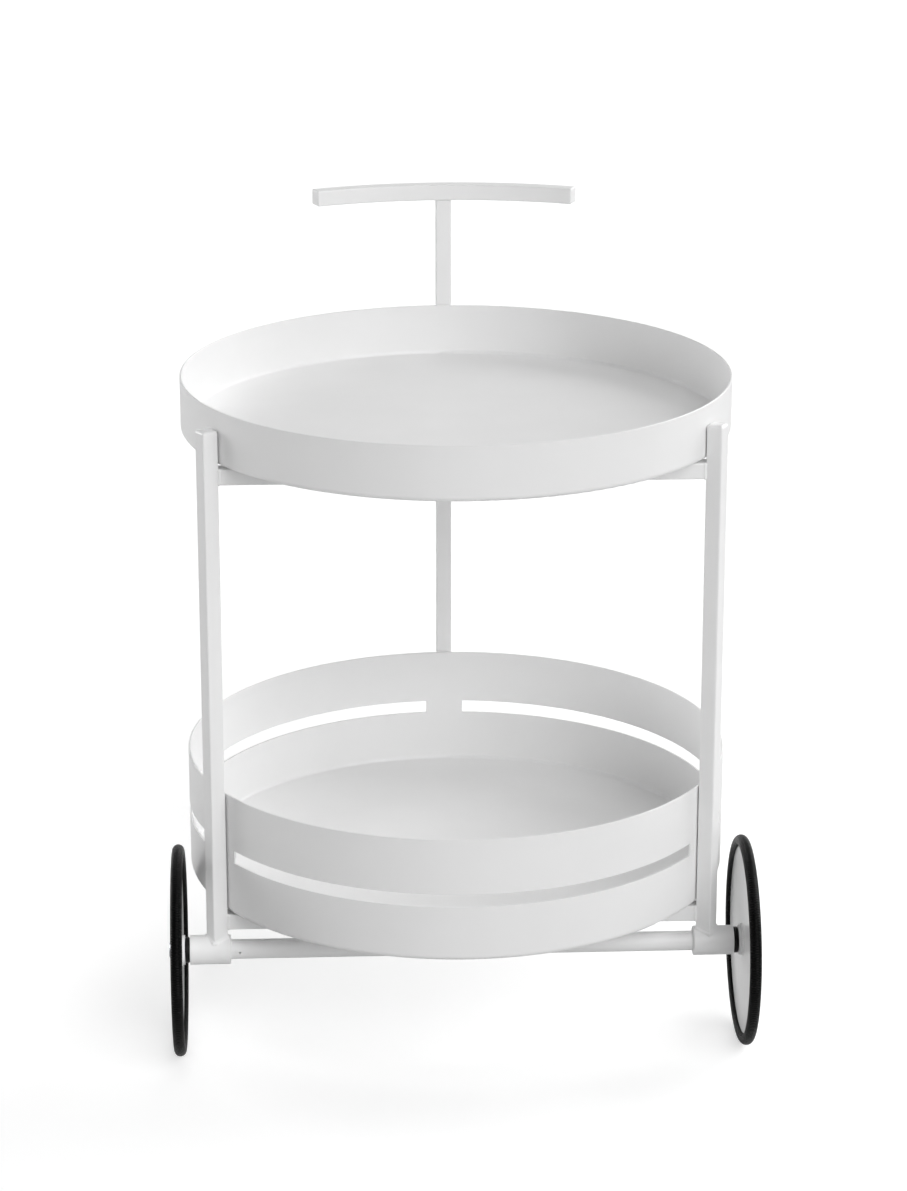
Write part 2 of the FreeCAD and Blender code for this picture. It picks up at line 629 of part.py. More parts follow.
def axle_bolt(name):
    """Shoulder bolt: thread in the sleeve, shoulder through the bush, low domed head."""
    thread_start = f"{SLEEVE_END} - <bolt_thread_length>"
    head_end = f"{HEAD_START} + <bolt_head_height>"
    body = turned_piece(name, [
        (thread_start, "0"), (head_end, "0"), (head_end, "<bolt_head_diameter> / 2"),
        (HEAD_START, "<bolt_head_diameter> / 2"), (HEAD_START, SHOULDER_RADIUS),
        (SLEEVE_END, SHOULDER_RADIUS), (SLEEVE_END, "<bolt_thread> / 2"),
        (thread_start, "<bolt_thread> / 2"),
    ])
    rounded(body, f"{name}_dome", "<bolt_head_height> * 0.75",
            at_edge(head_end, "<bolt_head_diameter> / 2"))
    key = new_sketch(body, f"{name}_key", "YZ_Plane")
    corner = "<bolt_socket> / 2 / cos(30 deg)"
    outline(key, [(f"{corner} * cos({60 * k} deg)", f"{corner} * sin({60 * k} deg)") for k in range(6)])
    key.AttachmentOffset = Placement(Vector(0, 0, value(head_end)), Rotation())
    key.setExpression(".AttachmentOffset.Base.z", size(f"({head_end}) * 1 mm"))
    pocket(body, key, "<bolt_socket_depth>")
    return body


def axle_washer(name):
    """Plain washer between the bush and the bolt head."""
    bore = f"{SHOULDER_RADIUS} + <running_gap>"
    start = "<hub_outer> + <end_gap>"
    return turned_piece(name, ring(bore, "<washer_diameter> / 2", start, f"{start} + <washer_thick>"))


AXLE_PIECES = {"tyre": tyre, "wheel_disc": wheel_disc, "hub": hub, "hub_bush": hub_bush,
               "axle_sleeve": axle_sleeve, "axle_bolt": axle_bolt, "axle_washer": axle_washer}

for side, sign in SIDES:
    half_turn = Rotation(Vector(0, 0, 1), 0 if sign > 0 else 180)
    for kind, make in AXLE_PIECES.items():
        piece = make(f"{side}_{kind}")
        place(piece, f"{sign} * <wheel_plane>", FRONT_Y, "<wheel_radius>", half_turn)
        node(piece, f"{side}_{kind}")


# ---- Checks and files ------------------------------------------------------------------------
doc.recompute()
for obj in doc.Objects:
    if {"Invalid", "Error"} & set(obj.State):
        raise RuntimeError(f"{obj.Name} failed: {obj.State}")
for piece in nodes:
    shape = piece.Shape
    if shape.isNull() or not shape.isValid() or not shape.Solids:
        raise RuntimeError(f"{piece.Label} has no valid shape")

os.makedirs("parts", exist_ok=True)
whole = FreeCAD.BoundBox()
for piece in nodes:
    piece.Shape.exportStep(f"parts/{piece.Label}.step")
    whole.add(piece.Shape.optimalBoundingBox(False, False))
    print(f"{piece.Label}: {len(piece.Shape.Solids)} solid(s), {piece.Shape.Volume / 1000:.2f} cm3")
print(f"{len(nodes)} pieces, X {whole.XMin:.2f} to {whole.XMax:.2f}, "
      f"Y {whole.YMin:.2f} to {whole.YMax:.2f}, Z {whole.ZMin:.2f} to {whole.ZMax:.2f}")
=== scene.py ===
# %% [markdown]
# # A round two-tray trolley in white powder-coated steel
#
# The real thing is square tube, spun sheet-steel trays and two thin wheels. It is welded, sprayed
# with powder and baked, and only the tyres, bushes and bolts go on afterwards. The measured solids
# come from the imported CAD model, which stays as it is. This lesson gives them their finishes, adds
# what a welder leaves on them, and sets up the studio and the camera.

# %% Load the measured solids
import json
import math
import random

import bmesh
import bpy
from mathutils import Matrix, Vector
from mathutils.kdtree import KDTree


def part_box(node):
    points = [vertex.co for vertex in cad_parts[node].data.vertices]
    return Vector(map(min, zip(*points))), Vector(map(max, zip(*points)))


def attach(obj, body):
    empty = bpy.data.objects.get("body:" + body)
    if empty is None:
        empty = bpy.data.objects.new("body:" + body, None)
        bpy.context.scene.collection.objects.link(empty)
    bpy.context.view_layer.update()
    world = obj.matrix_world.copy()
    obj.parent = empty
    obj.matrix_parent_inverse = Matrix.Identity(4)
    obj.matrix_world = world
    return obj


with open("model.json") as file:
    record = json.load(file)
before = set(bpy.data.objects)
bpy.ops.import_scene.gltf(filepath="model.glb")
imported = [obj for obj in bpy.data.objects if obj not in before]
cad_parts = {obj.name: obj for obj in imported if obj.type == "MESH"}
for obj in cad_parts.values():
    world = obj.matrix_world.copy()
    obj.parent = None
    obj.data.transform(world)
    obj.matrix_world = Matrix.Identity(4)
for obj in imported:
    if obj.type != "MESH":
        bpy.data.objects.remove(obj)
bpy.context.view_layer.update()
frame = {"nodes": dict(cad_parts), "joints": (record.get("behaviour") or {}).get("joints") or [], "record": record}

nodes = frame["nodes"]

# %% [markdown]
# ## One length, one colour
#
# Blender works in metres and in linear light, while a workshop works in millimetres and a paint
# card in sRGB. Two small helpers keep both habits: sizes below are written in millimetres, and
# colours as the hex value that a colour picker shows.

# %% Millimetres and paint-card colours
def mm(length):
    """Turns millimetres to Blender's metres."""
    return length / 1000


def linear(hex_colour):
    """Turns an sRGB hex colour to the linear red, green, blue and alpha that Blender wants."""
    parts = [int(hex_colour[i:i + 2], 16) / 255 for i in (1, 3, 5)]
    return [c / 12.92 if c <= 0.04045 else ((c + 0.055) / 1.055) ** 2.4 for c in parts] + [1]


print("the coat's white is linear", [round(c, 3) for c in linear("#f1f1f1")])

# %% [markdown]
# ## The camera
#
# A catalogue picture of a trolley is taken from a few metres away with a long lens, so that the two
# round trays keep their shape. The place, the tilt and the lens were worked out beforehand from the
# edges of the trays, the posts and the wheels, which are known in the solids. Blender measures
# the lens on the long side of the picture, which here is its height.

# %% Put up the camera
LENS_LENGTH, FILM_HEIGHT = 108.36, 36       # millimetres, as Blender wants them here
CAMERA_PLACE = (-0.1489, -3.1532, 1.4328)   # metres
LOOKS_DOWN, LOOKS_RIGHT = 0.31954, 0.04664  # radians

scene = bpy.context.scene
lens = bpy.data.cameras.new("long_lens")
lens.lens, lens.sensor_width = LENS_LENGTH, FILM_HEIGHT
camera = bpy.data.objects.new("camera", lens)
camera.location = CAMERA_PLACE
camera.rotation_euler = (math.pi / 2 - LOOKS_DOWN, 0, -LOOKS_RIGHT)
scene.collection.objects.link(camera)
scene.camera = camera
print("camera", round(camera.location.length, 2), "m from the floor under the trolley")

# %% [markdown]
# ## Film
#
# White on white is all about small steps between light greys. A filmic curve would press those
# steps together and turn the white paint grey, so the picture is kept on the plain sRGB curve.

# %% Keep the plain sRGB curve
scene.view_settings.view_transform = "Standard"
scene.view_settings.look = "None"
print("film curve:", scene.view_settings.view_transform)

# %% [markdown]
# ## Nodes without clutter
#
# A material is a small network of nodes. One function adds any node: its settings go in as keywords,
# and its inputs as a dictionary that holds either plain values or sockets of earlier nodes.

# %% One function for every node
def add(tree, kind, inputs=None, **settings):
    """Adds a node with its settings, and fills or links its inputs."""
    made = tree.nodes.new(kind)
    for name, value in settings.items():
        setattr(made, name, value)
    for name, value in (inputs or {}).items():
        if isinstance(value, bpy.types.NodeSocket):
            tree.links.new(value, made.inputs[name])
        else:
            made.inputs[name].default_value = value
    return made


def new_material(name):
    """An empty material and its node tree."""
    material = bpy.data.materials.new(name)
    material.use_nodes = True
    material.node_tree.nodes.clear()
    return material, material.node_tree


print("helpers:", add.__name__, "and", new_material.__name__)

# %% [markdown]
# ## The studio
#
# White things are lit by what stands round them. Here that is a pale floor, which throws light back
# up under the trays, white paper behind the trolley, and five soft boxes. The left front of the
# room stays darkest, and that gives the walls their shape.
#
# The floor is one large square, whose ends lie far away.

# %% Pale floor
FLOOR_REACH = 40       # metres from its middle to each side
FLOOR_DROP = mm(0.2)   # below tyres and rear foot, so that no face lies in another
floor_mesh = bpy.data.meshes.new("floor")
floor_mesh.from_pydata(
    [(FLOOR_REACH * x, FLOOR_REACH * y, 0) for x, y in ((-1, -1), (1, -1), (1, 1), (-1, 1))],
    [], [(0, 1, 2, 3)])
floor = bpy.data.objects.new("floor", floor_mesh)
floor.location.z = -FLOOR_DROP
scene.collection.objects.link(floor)
print("floor", 2 * FLOOR_REACH, "m wide")

# %% [markdown]
# The floor is matt pale paint. Catalogue pictures show it as paper white, brighter than it lights
# the trolley, because the retoucher lifts it. A ray from the camera therefore finds a glow on it,
# and every other ray finds plain paint. Shadows stay, but faint.

# %% Matt pale paint on the floor
FLOOR_LIFT = 0.54   # the glow's strength
material, tree = new_material("matt_pale_floor")
seen = add(tree, "ShaderNodeLightPath").outputs["Is Camera Ray"]
lift = add(tree, "ShaderNodeMath", {0: seen, 1: FLOOR_LIFT}, operation="MULTIPLY")
shader = add(tree, "ShaderNodeBsdfPrincipled", {
    "Base Color": linear("#d9d9d9"), "Roughness": 0.9, "Specular IOR Level": 0.1,
    "Emission Color": linear("#ffffff"), "Emission Strength": lift.outputs[0]})
add(tree, "ShaderNodeOutputMaterial", {"Surface": shader.outputs["BSDF"]})
floor_mesh.materials.append(material)
print(material.name, "on the", floor.name)

# %% [markdown]
# The room itself only gives the light of the white paper behind the trolley, and its front, where
# the photographer stands, is dark. Satin paint reflects the paper at grazing angles, which gives
# round walls their bright outer edges. A ray straight from the camera finds paper white on every
# side, so that no horizon shows in a low view.

# %% Dim room, white paper
PAPER_EDGE = 0.7    # how far back a direction has to point to find the whole paper
PAPER_LIGHT = 0.5   # what the paper throws on the trolley
PAPER_SEEN = 1.1    # what the camera finds behind it
world = bpy.data.worlds.new("room")
scene.world = world
world.use_nodes = True
tree = world.node_tree
tree.nodes.clear()
toward = add(tree, "ShaderNodeSeparateXYZ", {
    "Vector": add(tree, "ShaderNodeTexCoord").outputs["Generated"]})
light = add(tree, "ShaderNodeMapRange", {
    "Value": toward.outputs["Y"], "From Max": PAPER_EDGE, "To Max": PAPER_LIGHT},
    interpolation_type="SMOOTHSTEP")
room = add(tree, "ShaderNodeBackground", {
    "Color": linear("#ffffff"), "Strength": light.outputs[0]})
paper = add(tree, "ShaderNodeBackground", {"Color": linear("#ffffff"), "Strength": PAPER_SEEN})
seen = add(tree, "ShaderNodeLightPath").outputs["Is Camera Ray"]
mixed = add(tree, "ShaderNodeMixShader", {"Fac": seen})
tree.links.new(room.outputs[0], mixed.inputs[1])
tree.links.new(paper.outputs[0], mixed.inputs[2])
add(tree, "ShaderNodeOutputWorld", {"Surface": mixed.outputs[0]})
print(world.name, "with", len(tree.nodes), "nodes")

# %% [markdown]
# A soft box is a large lamp close by. Put infinitely far away, as a sun with a wide disc, it gives
# the same soft edges, and the floor stays evenly lit to its far end. Their directions were found
# from the greys of the walls: the outside grows brighter from left to right and the inside darker,
# so the key stands at the front right, and two more lamps stand behind the trolley on both sides.
# A weak one at the left lifts the darkest walls. A small one hangs nearly overhead and draws the
# line where a tray's floor turns up into its wall.

# %% Soft boxes
def soft_box(name, azimuth, elevation, spread, strength):
    """A far, wide lamp. azimuth runs from the front to the right, and angles are in degrees."""
    data = bpy.data.lights.new(name, "SUN")
    data.energy, data.angle = strength, math.radians(spread)
    lamp = bpy.data.objects.new(name, data)
    lamp.rotation_euler = (math.radians(90 - elevation), 0, math.radians(azimuth))
    lamp.visible_camera = False
    scene.collection.objects.link(lamp)
    return lamp


soft_box("key", 30, 30, 50, 1.95)
soft_box("rear_right", 124, 28, 50, 1.82)
soft_box("rear_left", -120, 5, 36, 1.95)
soft_box("left", -60, 10, 50, 0.27)
soft_box("overhead", 0, 72, 12, 0.18)

# %% [markdown]
# ## White powder coat
#
# The steel is sprayed with a charged polyester powder that melts in an oven and flows into one
# skin, 60 to 100 microns thick. The eye sees a satin white with soft reflections, and close up a
# faint orange peel, whose waves are 1 to 3 mm long. Over a hand's width the skin is thicker here
# and thinner there, and with its thickness its gloss and its white drift a little.

# %% White powder coat
def powder_coat(name, thin, thick, roughest, smoothest, drift_size):
    """Powder paint that drifts from thin, where it is roughest, to thick, where it is smoothest.

    thin and thick are its whites, and drift_size is the drift's size along x, y and z.
    """
    material, tree = new_material(name)
    place = add(tree, "ShaderNodeTexCoord").outputs["Object"]
    peel = add(tree, "ShaderNodeTexNoise", {
        "Vector": place, "Scale": 1 / mm(2.4), "Detail": 2, "Roughness": 0.4})
    bump = add(tree, "ShaderNodeBump", {
        "Height": peel.outputs["Fac"], "Strength": 0.35, "Distance": mm(0.05)})
    spread = add(tree, "ShaderNodeVectorMath", {
        0: place, 1: [1 / size for size in drift_size]}, operation="MULTIPLY")
    drift = add(tree, "ShaderNodeTexNoise", {
        "Vector": spread.outputs["Vector"], "Scale": 1, "Detail": 2})
    thickness = add(tree, "ShaderNodeMapRange", {
        "Value": drift.outputs["Fac"], "From Min": 0.3, "From Max": 0.7}).outputs["Result"]
    white = add(tree, "ShaderNodeMix", {
        "Factor": thickness, 6: linear(thin), 7: linear(thick)}, data_type="RGBA")
    gloss = add(tree, "ShaderNodeMapRange", {
        "Value": thickness, "To Min": roughest, "To Max": smoothest})
    shader = add(tree, "ShaderNodeBsdfPrincipled", {
        "Base Color": white.outputs[2], "Roughness": gloss.outputs["Result"],
        "IOR": 1.5, "Normal": bump.outputs["Normal"]})
    add(tree, "ShaderNodeOutputMaterial", {"Surface": shader.outputs["BSDF"]})
    return material


coat = powder_coat("white_powder_coat", "#f0f0f0", "#f2f2f2", 0.35, 0.3, [mm(70)] * 3)
print(coat.name, "with", len(coat.node_tree.nodes), "nodes")

# %% [markdown]
# The wheel discs get a smoother copy of the coat whose whites are lifted above the tubes' white.
# That lift is painted light, standing in for the light the discs catch. Its white drifts in faint
# upright streaks. Seen along its face, a disc mirrors more of the pale floor than the tubes do.

# %% Smoother coat on the wheel discs, its whiter white painted light
STREAK = [mm(40), mm(7), mm(130)]   # through the disc, across the streak and along it
# The discs' whites sit above the tubes' white: painted light for the light the discs catch.
disc_coat_painted_bright = powder_coat("white_powder_coat_painted_bright", "#f7f7f7", "#fcfcfc", 0.22, 0.18, STREAK)
print(disc_coat_painted_bright.name, "with", len(disc_coat_painted_bright.node_tree.nodes), "nodes")

# %% [markdown]
# ## Tyre rubber
#
# The tyre is a solid cord of black EPDM, pushed through a round die and joined on the rim. Fine ribs
# run across it all the way round, by guess 1.5 to 2 mm apart on the real one. They are drawn 2.4 mm
# apart, because finer ones don't show at this size. Rubber is dull, but the ribs' crests catch the
# light, and the skin has a thin grey bloom that changes within a centimetre.
#
# The ribs are a sine wave of the angle round the axle, whose place the wheel's joint tells. The
# tyre stands on the floor, so its radius is the axle's height.

# %% Ribbed black rubber
_, AXLE_Y, AXLE_Z = next(
    joint["pos_m"] for joint in frame["joints"] if joint["name"] == "left_wheel_spin")
RIB = mm(2.4)   # from one rib to the next
ribs = round(2 * math.pi * AXLE_Z / RIB)


def tyre_rubber():
    """Black rubber with ribs across the cord, all round the axle."""
    material, tree = new_material("ribbed_epdm_rubber")
    place = add(tree, "ShaderNodeTexCoord").outputs["Object"]
    axis = add(tree, "ShaderNodeVectorMath", {0: place, 1: (0, AXLE_Y, AXLE_Z)},
               operation="SUBTRACT")
    across = add(tree, "ShaderNodeSeparateXYZ", {"Vector": axis.outputs["Vector"]})
    turn = add(tree, "ShaderNodeMath", {0: across.outputs["Z"], 1: across.outputs["Y"]},
               operation="ARCTAN2")
    phase = add(tree, "ShaderNodeMath", {0: turn.outputs[0], 1: ribs}, operation="MULTIPLY")
    wave = add(tree, "ShaderNodeMath", {0: phase.outputs[0]}, operation="SINE")
    wear = add(tree, "ShaderNodeTexNoise", {"Vector": place, "Scale": 1 / mm(9), "Detail": 4})
    height = add(tree, "ShaderNodeMath", {0: wave.outputs[0], 1: wear.outputs["Fac"]},
                 operation="MULTIPLY")
    bump = add(tree, "ShaderNodeBump", {
        "Height": height.outputs[0], "Strength": 1, "Distance": mm(0.35)})
    bloom = add(tree, "ShaderNodeMix", {
        "Factor": wear.outputs["Fac"], 6: linear("#030303"), 7: linear("#0c0c0c")},
        data_type="RGBA")
    shader = add(tree, "ShaderNodeBsdfPrincipled", {
        "Base Color": bloom.outputs[2], "Roughness": 0.24, "IOR": 1.5, "Specular IOR Level": 0.08,
        "Normal": bump.outputs["Normal"]})
    add(tree, "ShaderNodeOutputMaterial", {"Surface": shader.outputs["BSDF"]})
    return material


rubber = tyre_rubber()
print(ribs, "ribs round each tyre")

# %% [markdown]
# ## Nylon
#
# The bushes and the rear foot are moulded or turned from black polyamide, and the glide pads from
# the natural white sort. Nylon is a little waxy: it has a soft highlight, and from the mould a fine
# eroded grain of about 0.1 mm. It is drawn at 0.8 mm, because finer grain vanishes and coarser
# grain looks like dents on pieces this small. The black sort is matt.

# %% Black and white nylon
def nylon(name, hex_colour, roughness, shine):
    """Moulded nylon. shine is the strength of its highlight, 0.5 for a clean surface."""
    material, tree = new_material(name)
    place = add(tree, "ShaderNodeTexCoord").outputs["Object"]
    grain = add(tree, "ShaderNodeTexNoise", {"Vector": place, "Scale": 1 / mm(0.8), "Detail": 3})
    bump = add(tree, "ShaderNodeBump", {
        "Height": grain.outputs["Fac"], "Strength": 0.4, "Distance": mm(0.05)})
    shader = add(tree, "ShaderNodeBsdfPrincipled", {
        "Base Color": linear(hex_colour), "Roughness": roughness, "IOR": 1.53,
        "Specular IOR Level": shine, "Normal": bump.outputs["Normal"]})
    add(tree, "ShaderNodeOutputMaterial", {"Surface": shader.outputs["BSDF"]})
    return material


black_nylon = nylon("black_nylon", "#080808", 0.4, 0.2)
white_nylon = nylon("white_nylon", "#e9e7de", 0.45, 0.5)
print(black_nylon.name, "and", white_nylon.name)

# %% [markdown]
# ## Zinc-plated steel
#
# Nuts, washers and the axle bolts are bright zinc-plated. Zinc is a bluish grey metal with a fine
# crystalline sheen that is never a clean mirror. Its crystals are far too small to show, so the
# roughness wanders over 1.2 mm instead.

# %% Bright zinc
def zinc_plate():
    """Bright zinc on steel."""
    material, tree = new_material("zinc_plated_steel")
    place = add(tree, "ShaderNodeTexCoord").outputs["Object"]
    sheen = add(tree, "ShaderNodeTexNoise", {"Vector": place, "Scale": 1 / mm(1.2), "Detail": 4})
    gloss = add(tree, "ShaderNodeMapRange", {
        "Value": sheen.outputs["Fac"], "To Min": 0.2, "To Max": 0.42})
    shader = add(tree, "ShaderNodeBsdfPrincipled", {
        "Base Color": linear("#c3c6cb"), "Metallic": 1, "Roughness": gloss.outputs["Result"]})
    add(tree, "ShaderNodeOutputMaterial", {"Surface": shader.outputs["BSDF"]})
    return material


zinc = zinc_plate()
print(zinc.name, "with", len(zinc.node_tree.nodes), "nodes")

# %% [markdown]
# ## Finishes onto the solids
#
# Each solid says in its record which finish it has. Looking the finish up there, and not by a list
# of names, means that no solid is forgotten. Only the discs' coat, whose lighter white is painted light, goes by
# name.

# %% Hand out the finishes
finishes = {
    "white_powder_coat": coat, "tyre_rubber": rubber, "black_nylon": black_nylon,
    "white_nylon": white_nylon, "zinc_steel": zinc}
slot_of = {part["node"]: part["material_slot"] for part in frame["record"]["subparts"]}
for name, solid in nodes.items():
    finish = disc_coat_painted_bright if name.endswith("wheel_disc") else finishes[slot_of[name]]
    solid.data.materials.clear()
    solid.data.materials.append(finish)
print({slot: list(slot_of.values()).count(slot) for slot in finishes})

# %% [markdown]
# ## Painted welds
#
# The frame is welded by hand from short pieces, and the powder flows over the beads, so bead and
# tubes melt into one soft skin. A plain bead would look like a string laid in the corner. Rounding
# the solids' own edges would look right, but the solids stay as measured. So each weld is cast:
# a rippled bead and short blanks of the tubes are wrapped in one skin, the skin is smoothed until
# it flows, and only the strip along the joint is kept.
#
# A joint runs round the outside of a square tube or a round one. Both outlines are squares with
# rounded corners: in a round one, the corners take up everything. A solid's box gives the tube's
# side, rounded to a thousandth of a millimetre.

# %% Outlines and blanks
DIGITS = 6   # of a metre


def middle_and_half(solid, axis):
    """The middle of a solid's box along an axis, and half its size, in metres."""
    low, high = (getattr(corner, axis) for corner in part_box(solid))
    return round((low + high) / 2, DIGITS), round((high - low) / 2, DIGITS)


TUBE = 2 * middle_and_half("upper_crossbar", "z")[1]
TUBE_ROUND = mm(1.6)   # the corners of the square tube


def outline(side, corner, steps=8):
    """Points round a square with rounded corners, about its middle."""
    reach, spots = side / 2 - corner, []
    for quarter, (across, along) in enumerate(((1, 1), (-1, 1), (-1, -1), (1, -1))):
        for step in range(steps + 1):
            angle = math.pi / 2 * (quarter + step / steps)
            spots.append((across * reach + corner * math.cos(angle),
                          along * reach + corner * math.sin(angle)))
    return spots


def blank(shape, side, corner, place, axis, low, high, turn=0.0):
    """Adds a closed bar to the mesh shape. It runs along axis through place, from low to high."""
    stand = Matrix.Translation(place) @ Vector(axis).to_track_quat("Z", "Y").to_matrix().to_4x4()
    stand = stand @ Matrix.Rotation(turn, 4, "Z")
    ends = [[shape.verts.new(stand @ Vector((x, y, z))) for x, y in outline(side, corner)]
            for z in (low, high)]
    for k in range(len(ends[0])):
        shape.faces.new((ends[0][k - 1], ends[0][k], ends[1][k], ends[1][k - 1]))
    shape.faces.new(list(reversed(ends[0])))
    shape.faces.new(ends[1])


print("tube", TUBE * 1000, "mm wide, with", len(outline(TUBE, TUBE_ROUND)), "points round it")

# %% [markdown]
# A bead is the rod's metal, laid down one small pool after the other, by a hand that is never quite
# steady. A curve with a round profile has a width at each of its points, so it can swell with each
# pool and sway a little on its way round.

# %% A rippled bead
RIPPLE = mm(1.6)        # from one dip of the rod to the next
STEPS = 4               # points on each ripple
RIPPLE_DEPTH = 0.15     # of the bead's radius
SWAY_LEFT = 0.9         # of the rod's sway, one step on
random.seed(7)


def even_steps(corners, step):
    """Points at even steps round a closed line of corners."""
    line = [Vector(c) for c in corners]
    line.append(line[0])
    spots, left = [], 0.0
    for start, end in zip(line, line[1:]):
        run = (end - start).length
        while left < run:
            spots.append(start.lerp(end, left / run))
            left += step
        left -= run
    return spots


def bead(spots, radius, unevenness):
    """A closed curve through spots. unevenness is how far its width may sway at each step."""
    curve = bpy.data.curves.new("bead", "CURVE")
    curve.dimensions = "3D"
    curve.bevel_depth, curve.bevel_resolution = radius, 3
    spline = curve.splines.new("POLY")
    spline.points.add(len(spots) - 1)
    spline.use_cyclic_u = True
    sway = 0.0
    for number, (point, spot) in enumerate(zip(spline.points, spots)):
        sway = SWAY_LEFT * sway + random.uniform(-unevenness, unevenness)
        point.co = (*spot, 1)
        point.radius = 1 + sway + RIPPLE_DEPTH * math.sin(2 * math.pi * number / STEPS)
    return bpy.data.objects.new("bead", curve)


print("a bead round a tube takes",
      len(even_steps(outline(TUBE, TUBE_ROUND), RIPPLE / STEPS)), "steps")

# %% [markdown]
# Remeshing in voxels turns everything that overlaps into one closed skin, which a plain join of
# the meshes wouldn't do. Smoothing then fills the corner beside the bead, as melted powder does.

# %% One skin over bead and blanks
GRID = mm(0.4)          # the size of the skin's facets
SAME_SPOT = mm(0.001)   # points this close are one


def shown_mesh(thing):
    """The mesh of an object with its modifiers. The object itself is thrown away."""
    scene.collection.objects.link(thing)
    shown = thing.evaluated_get(bpy.context.evaluated_depsgraph_get())
    mesh = bpy.data.meshes.new_from_object(shown)
    bpy.data.objects.remove(thing)
    return mesh


def wrapped(spots, radius, blanks, flow, unevenness):
    """The smoothed skin over a bead through spots and over blanks."""
    shape = bmesh.new()
    shape.from_mesh(shown_mesh(bead(spots, radius, unevenness)))
    for bar in blanks:
        blank(shape, *bar)
    bmesh.ops.remove_doubles(shape, verts=shape.verts, dist=SAME_SPOT)
    cast = bpy.data.meshes.new("cast")
    shape.to_mesh(cast)
    shape.free()
    block = bpy.data.objects.new("cast", cast)
    wrap = block.modifiers.new("wrap", "REMESH")
    wrap.mode, wrap.voxel_size = "VOXEL", GRID
    soften = block.modifiers.new("soften", "SMOOTH")
    soften.factor, soften.iterations = 0.5, flow
    return shown_mesh(block)


print("facets of", GRID * 1000, "mm")

# %% [markdown]
# Of the whole skin, only the strip along the joint is wanted. It is let in by a hair, so that it
# comes out of the tubes without an edge, and it moves with the body that it is painted on.

# %% A weld is the strip of skin along its joint
BESIDE = mm(1)      # how much skin is kept beside a bead
LET_IN = mm(0.06)   # how far the skin lies under the solids beside the joint


def weld(name, body, joint, radius, *blanks, flow=12, unevenness=0.06):
    """A painted weld along the closed line joint. More flow smooths it further."""
    spots = even_steps(joint, RIPPLE / STEPS)
    near = KDTree(len(spots))
    for number, spot in enumerate(spots):
        near.insert(spot, number)
    near.balance()
    skin = wrapped(spots, radius, blanks, flow, unevenness)
    shape = bmesh.new()
    shape.from_mesh(skin)
    far = [vertex for vertex in shape.verts if near.find(vertex.co)[2] > 2 * radius + BESIDE]
    for vertex in shape.verts:
        vertex.co -= vertex.normal * LET_IN
    bmesh.ops.delete(shape, geom=far, context="VERTS")
    shape.to_mesh(skin)
    shape.free()
    skin.shade_smooth()
    skin.materials.clear()
    skin.materials.append(coat)
    piece = bpy.data.objects.new(name, skin)
    scene.collection.objects.link(piece)
    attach(piece, body)
    print(name, len(skin.vertices), "points")


print("skin kept beside a bead:", BESIDE * 1000, "mm")

# %% [markdown]
# ## Where the tubes meet
#
# A post stands turned by 30 degrees on its sleeve. The joint follows the sleeve's circle: the
# further a point is from the axle to the front or the rear, the lower it lies. These beads are the
# fullest, and the paint rounds them off the most.

# %% Posts on their sleeves
FOOT_BEAD = mm(1.8)
ABOUT = mm(18)   # how far a blank reaches past the middle of a joint
POST_TURN = math.radians(30)
POST_X = middle_and_half("front_right_post", "x")[0]
SLEEVE_RADIUS = middle_and_half("left_axle_sleeve", "z")[1]
sides = {"left": -1, "right": 1}


def post_blank(sign, middle):
    """A length of a front post about the height middle."""
    return (TUBE, TUBE_ROUND, (sign * POST_X, AXLE_Y, middle), (0, 0, 1), -ABOUT, ABOUT,
            -sign * POST_TURN)


def sleeve_blank(side):
    """A whole axle sleeve."""
    low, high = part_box(f"{side}_axle_sleeve")
    return (2 * SLEEVE_RADIUS, SLEEVE_RADIUS, (0, AXLE_Y, AXLE_Z), (1, 0, 0), low.x, high.x)


for side, sign in sides.items():
    joint = []
    turn = -sign * POST_TURN
    for across, along in outline(TUBE, TUBE_ROUND):
        x = across * math.cos(turn) - along * math.sin(turn)
        y = across * math.sin(turn) + along * math.cos(turn)
        joint.append((sign * POST_X + x, AXLE_Y + y,
                      AXLE_Z + math.sqrt(SLEEVE_RADIUS ** 2 - y ** 2)))
    weld(f"{side}_post_foot_weld", "frame", joint, FOOT_BEAD,
         post_blank(sign, AXLE_Z + ABOUT), sleeve_blank(side), flow=26)

# %% [markdown]
# A crossbar's end is mitred to lie flat on the inner face of a turned post. The joint therefore
# runs askew: the further back a point is, the closer it comes to the post's middle. Here the
# welder's bead was dressed nearly flush, because the tray lies only 2 mm above the bar.

# %% Crossbars between the posts
CROSSBAR_BEAD = mm(0.7)


def crossbar_blank(level, low_x, high_x):
    """A length of a crossbar."""
    low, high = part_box(f"{level}_crossbar")
    return (TUBE, TUBE_ROUND, (0, (low.y + high.y) / 2, (low.z + high.z) / 2), (1, 0, 0),
            low_x, high_x)


for level in ("upper", "lower"):
    low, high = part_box(f"{level}_crossbar")
    middle_y, middle_z = (low.y + high.y) / 2, (low.z + high.z) / 2
    for side, sign in sides.items():
        joint = []
        for y, z in outline(TUBE, TUBE_ROUND):
            back = middle_y + y - AXLE_Y
            reach = (TUBE / 2 - back * math.sin(POST_TURN)) / math.cos(POST_TURN)
            joint.append((sign * (POST_X - reach), middle_y + y, middle_z + z))
        ends = sorted((sign * POST_X, sign * (POST_X - 2 * ABOUT)))
        weld(f"{level}_crossbar_{side}_weld", "frame", joint, CROSSBAR_BEAD,
             post_blank(sign, middle_z), crossbar_blank(level, *ends))

# %% [markdown]
# A spine's ends are cut square. Its front end meets the crossbar and its rear end the rear post, so
# each joint is a plain outline of the tube. The bead is a little fuller than a crossbar's. The
# handle's joint on top of the rear post, at hand height, was ground flush, and has no bead.

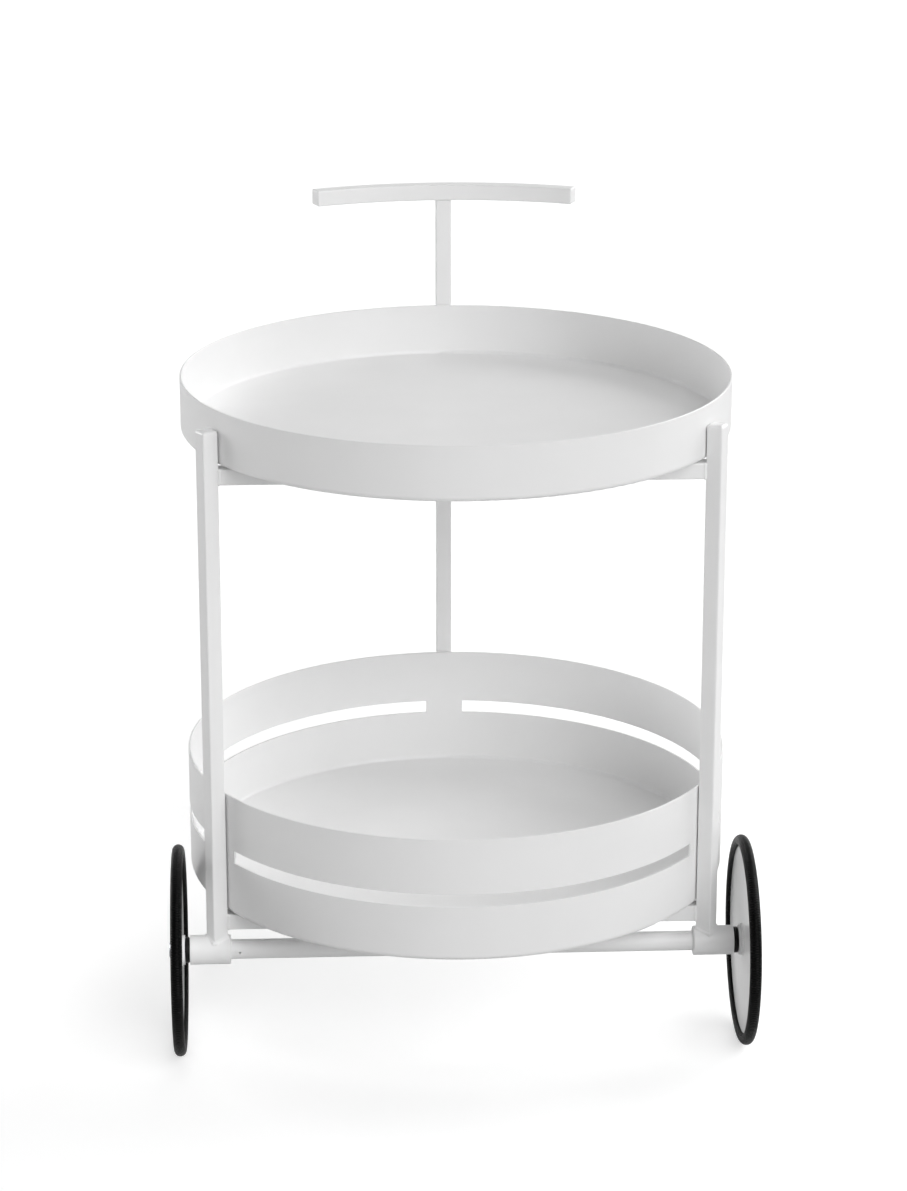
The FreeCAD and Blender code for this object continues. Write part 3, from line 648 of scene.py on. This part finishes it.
# %% Spines between crossbar and rear post
SPINE_BEAD = mm(1.2)
for level in ("upper", "lower"):
    low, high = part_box(f"{level}_spine")
    middle_z = (low.z + high.z) / 2
    post_low, post_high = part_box("rear_post")
    bars = {
        low.y: crossbar_blank(level, -ABOUT, ABOUT),
        high.y: (TUBE, TUBE_ROUND, (0, (post_low.y + post_high.y) / 2, middle_z), (0, 0, 1),
                 -ABOUT, ABOUT)}
    for end, y in (("front", low.y), ("rear", high.y)):
        joint = [(x, y, middle_z + z) for x, z in outline(TUBE, TUBE_ROUND)]
        spine = (TUBE, TUBE_ROUND, (0, y, middle_z), (0, 1, 0), *(
            (-TUBE / 2, ABOUT) if end == "front" else (-ABOUT, TUBE / 2)))
        weld(f"{level}_spine_{end}_weld", "frame", joint, SPINE_BEAD, bars[y], spine)

# %% [markdown]
# The axle tube runs into a socket in each sleeve and is welded all round where it goes in.

# %% Axle tube in its sleeves
AXLE_BEAD = mm(0.8)
AXLE_TUBE_RADIUS = middle_and_half("axle_tube", "y")[1]
for side, sign in sides.items():
    low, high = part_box(f"{side}_axle_sleeve")
    sleeve_end = sign * min(abs(low.x), abs(high.x))
    joint = [(sleeve_end, AXLE_Y + y, AXLE_Z + z)
             for y, z in outline(2 * AXLE_TUBE_RADIUS, AXLE_TUBE_RADIUS)]
    tube = (2 * AXLE_TUBE_RADIUS, AXLE_TUBE_RADIUS, (sleeve_end, AXLE_Y, AXLE_Z), (1, 0, 0),
            -ABOUT, ABOUT)
    weld(f"{side}_axle_weld", "frame", joint, AXLE_BEAD, sleeve_blank(side), tube)

# %% [markdown]
# In each wheel, the hub is a short turned boss as thick as a sleeve, welded to the disc on both
# faces. Hardly anyone looks there, so these beads were left rougher: they sway more, and the skin
# is smoothed less. A disc is only 3 mm thick, so its other face would lie near enough to keep a
# strip of skin too. The disc's blank therefore reaches far past it.

# %% Hubs on the wheel discs
HUB_BEAD = mm(1.4)
DISC_BLANK, DISC_BLANK_ROUND = mm(50), mm(20)   # a piece of the disc, wider than the weld
axle = ((0, AXLE_Y, AXLE_Z), (1, 0, 0))
for side in sides:
    hub_low, hub_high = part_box(f"{side}_hub")
    low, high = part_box(f"{side}_wheel_disc")
    for face, x, inward, hub_end in (
            ("left", low.x, ABOUT, hub_low.x), ("right", high.x, -ABOUT, hub_high.x)):
        joint = [(x, AXLE_Y + y, AXLE_Z + z)
                 for y, z in outline(2 * SLEEVE_RADIUS, SLEEVE_RADIUS)]
        hub = (2 * SLEEVE_RADIUS, SLEEVE_RADIUS, *axle, *sorted((hub_end, x + inward)))
        disc = (DISC_BLANK, DISC_BLANK_ROUND, *axle, *sorted((x, x + inward)))
        weld(f"{side}_hub_{face}_weld", f"{side}_wheel", joint, HUB_BEAD, hub, disc,
             flow=3, unevenness=0.16)
